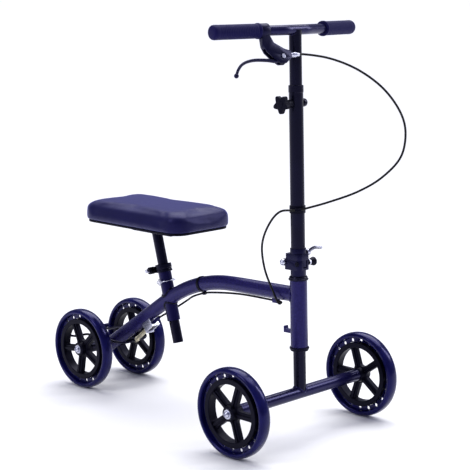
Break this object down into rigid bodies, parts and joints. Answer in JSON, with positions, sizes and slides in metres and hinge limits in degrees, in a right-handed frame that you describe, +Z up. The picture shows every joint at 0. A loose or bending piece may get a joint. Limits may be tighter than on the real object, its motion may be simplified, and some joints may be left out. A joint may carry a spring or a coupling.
{
  "type": "knee scooter",
  "caption": "Steerable knee scooter with a padded knee rest, folding handlebar column, hand lever and rear brake bar on small solid wheels.",
  "frame": {"origin": "on the floor, under the middle of the overall bounding box", "axes": "+Z up, the front faces -Y, the rider's left is +X"},
  "size_m": [0.481, 0.922, 0.9237],
  "materials": {
    "frame_paint": "hammered powder coat",
    "black_paint": "gloss",
    "navy_paint": "gloss",
    "steel": "bright zinc plate",
    "zinc": "yellowish zinc plate",
    "plastic": "satin",
    "tyre": "translucent polyurethane",
    "rubber": "matte",
    "vinyl": "satin vinyl",
    "cable": "satin"
  },
  "bodies": {
    "frame": {"main_tube": "frame_paint", "head_tube": "frame_paint", "headset_lower_cup": "black_paint", "headset_upper_cup": "black_paint", "rear_cross_tube": "black_paint", "rear_left_axle_bolt": "steel", "rear_right_axle_bolt": "steel", "seat_socket": "navy_paint", "seat_clamp": "black_paint", "seat_clamp_screw": "plastic", "cable_strap": "plastic", "brake_bracket": "steel", "brake_spring": "zinc", "brake_cable_frame": "cable"},
    "steering_fork": {"steerer_tube": "black_paint", "front_crossbar": "navy_paint", "front_left_axle_bolt": "steel", "front_right_axle_bolt": "steel", "hinge_lower": "black_paint", "hinge_pin": "steel", "latch_skewer": "plastic", "brake_cable_lower": "cable"},
    "column": {"hinge_upper": "black_paint", "column_tube": "black_paint", "height_bolt": "black_paint", "cable_clip": "plastic", "brake_cable_middle": "cable"},
    "handlebar": {"stem_tube": "black_paint", "handlebar": "navy_paint", "grip_left": "rubber", "grip_right": "rubber", "lever_bracket": "plastic", "lever_pivot_screw": "steel", "barrel_adjuster": "steel", "brake_cable_upper": "cable"},
    "brake_lever": {"brake_lever": "plastic"},
    "height_knob": {"height_knob": "plastic"},
    "latch_lever": {"latch_lever": "steel"},
    "seat": {"seat_post": "black_paint", "seat_plate": "black_paint", "seat_board": "plastic", "seat_pad": "vinyl"},
    "seat_clamp_lever": {"seat_clamp_lever": "steel"},
    "snap_pin": {"snap_pin": "steel"},
    "brake_bar": {"brake_bar": "black_paint", "brake_pull_rod": "zinc", "brake_sleeve_left": "rubber", "brake_sleeve_right": "rubber"},
    "front_left_wheel": {"front_left_wheel_core": "plastic", "front_left_wheel_tyre": "tyre", "front_left_wheel_bearings": "steel"},
    "front_right_wheel": {"front_right_wheel_core": "plastic", "front_right_wheel_tyre": "tyre", "front_right_wheel_bearings": "steel"},
    "rear_left_wheel": {"rear_left_wheel_core": "plastic", "rear_left_wheel_tyre": "tyre", "rear_left_wheel_bearings": "steel"},
    "rear_right_wheel": {"rear_right_wheel_core": "plastic", "rear_right_wheel_tyre": "tyre", "rear_right_wheel_bearings": "steel"}
  },
  "joints": [
    {"name": "steering", "type": "hinge", "parent": "frame", "child": "steering_fork", "pos_m": [0, -0.30278, 0.1], "axis": [0, 0.0279, 0.9996], "range_deg": [-35, 35], "deforming": ["brake_cable_lower"]},
    {"name": "column_fold", "type": "hinge", "parent": "steering_fork", "child": "column", "pos_m": [0, -0.2675, 0.39613], "axis": [-1, 0, 0], "range_deg": [0, 70], "deforming": ["brake_cable_middle"]},
    {"name": "handle_height", "type": "slide", "parent": "column", "child": "handlebar", "axis": [0, 0.0279, 0.9996], "range_m": [-0.038, 0.08], "deforming": ["brake_cable_upper"]},
    {"name": "brake_lever_squeeze", "type": "hinge", "parent": "handlebar", "child": "brake_lever", "pos_m": [-0.06616, -0.302, 0.85093], "axis": [0.1508, 0.8893, -0.4317], "range_deg": [0, 25], "stiffness_Nm_per_rad": 0.6, "springref_deg": -8.59},
    {"name": "height_knob_turn", "type": "hinge", "parent": "column", "child": "height_knob", "pos_m": [-0.042, -0.28466, 0.74875], "axis": [-1, 0, 0], "continuous": true},
    {"name": "latch_lever_lift", "type": "hinge", "parent": "column", "child": "latch_lever", "pos_m": [0.022, -0.3019, 0.4181], "axis": [-1, 0, 0], "range_deg": [0, 95]},
    {"name": "front_left_wheel_spin", "type": "hinge", "parent": "steering_fork", "child": "front_left_wheel", "pos_m": [0.215, -0.30278, 0.1], "axis": [1, 0, 0], "continuous": true},
    {"name": "front_right_wheel_spin", "type": "hinge", "parent": "steering_fork", "child": "front_right_wheel", "pos_m": [-0.215, -0.30278, 0.1], "axis": [1, 0, 0], "continuous": true},
    {"name": "rear_left_wheel_spin", "type": "hinge", "parent": "frame", "child": "rear_left_wheel", "pos_m": [0.0885, 0.34722, 0.1], "axis": [1, 0, 0], "continuous": true},
    {"name": "rear_right_wheel_spin", "type": "hinge", "parent": "frame", "child": "rear_right_wheel", "pos_m": [-0.0885, 0.34722, 0.1], "axis": [1, 0, 0], "continuous": true},
    {"name": "seat_height", "type": "slide", "parent": "frame", "child": "seat", "axis": [0, -0.2672, -0.9636], "range_m": [-0.1, 0.033]},
    {"name": "seat_clamp_lever_open", "type": "hinge", "parent": "frame", "child": "seat_clamp_lever", "pos_m": [0.017, 0.16872, 0.31398], "axis": [0, -0.2672, -0.9636], "range_deg": [0, 100]},
    {"name": "snap_pin_swing", "type": "hinge", "parent": "frame", "child": "snap_pin", "pos_m": [0, 0.13415, 0.29036], "axis": [1, 0, 0], "range_deg": [-30, 30]},
    {"name": "brake_bar_pull", "type": "slide", "parent": "frame", "child": "brake_bar", "axis": [0, -0.766, 0.6428], "range_m": [0, 0.0044], "deforming": ["brake_spring"]}
  ],
  "couplings": [
    {"joint": "brake_bar_pull", "follows": "brake_lever_squeeze", "m_per_rad": 0.01}
  ]
}
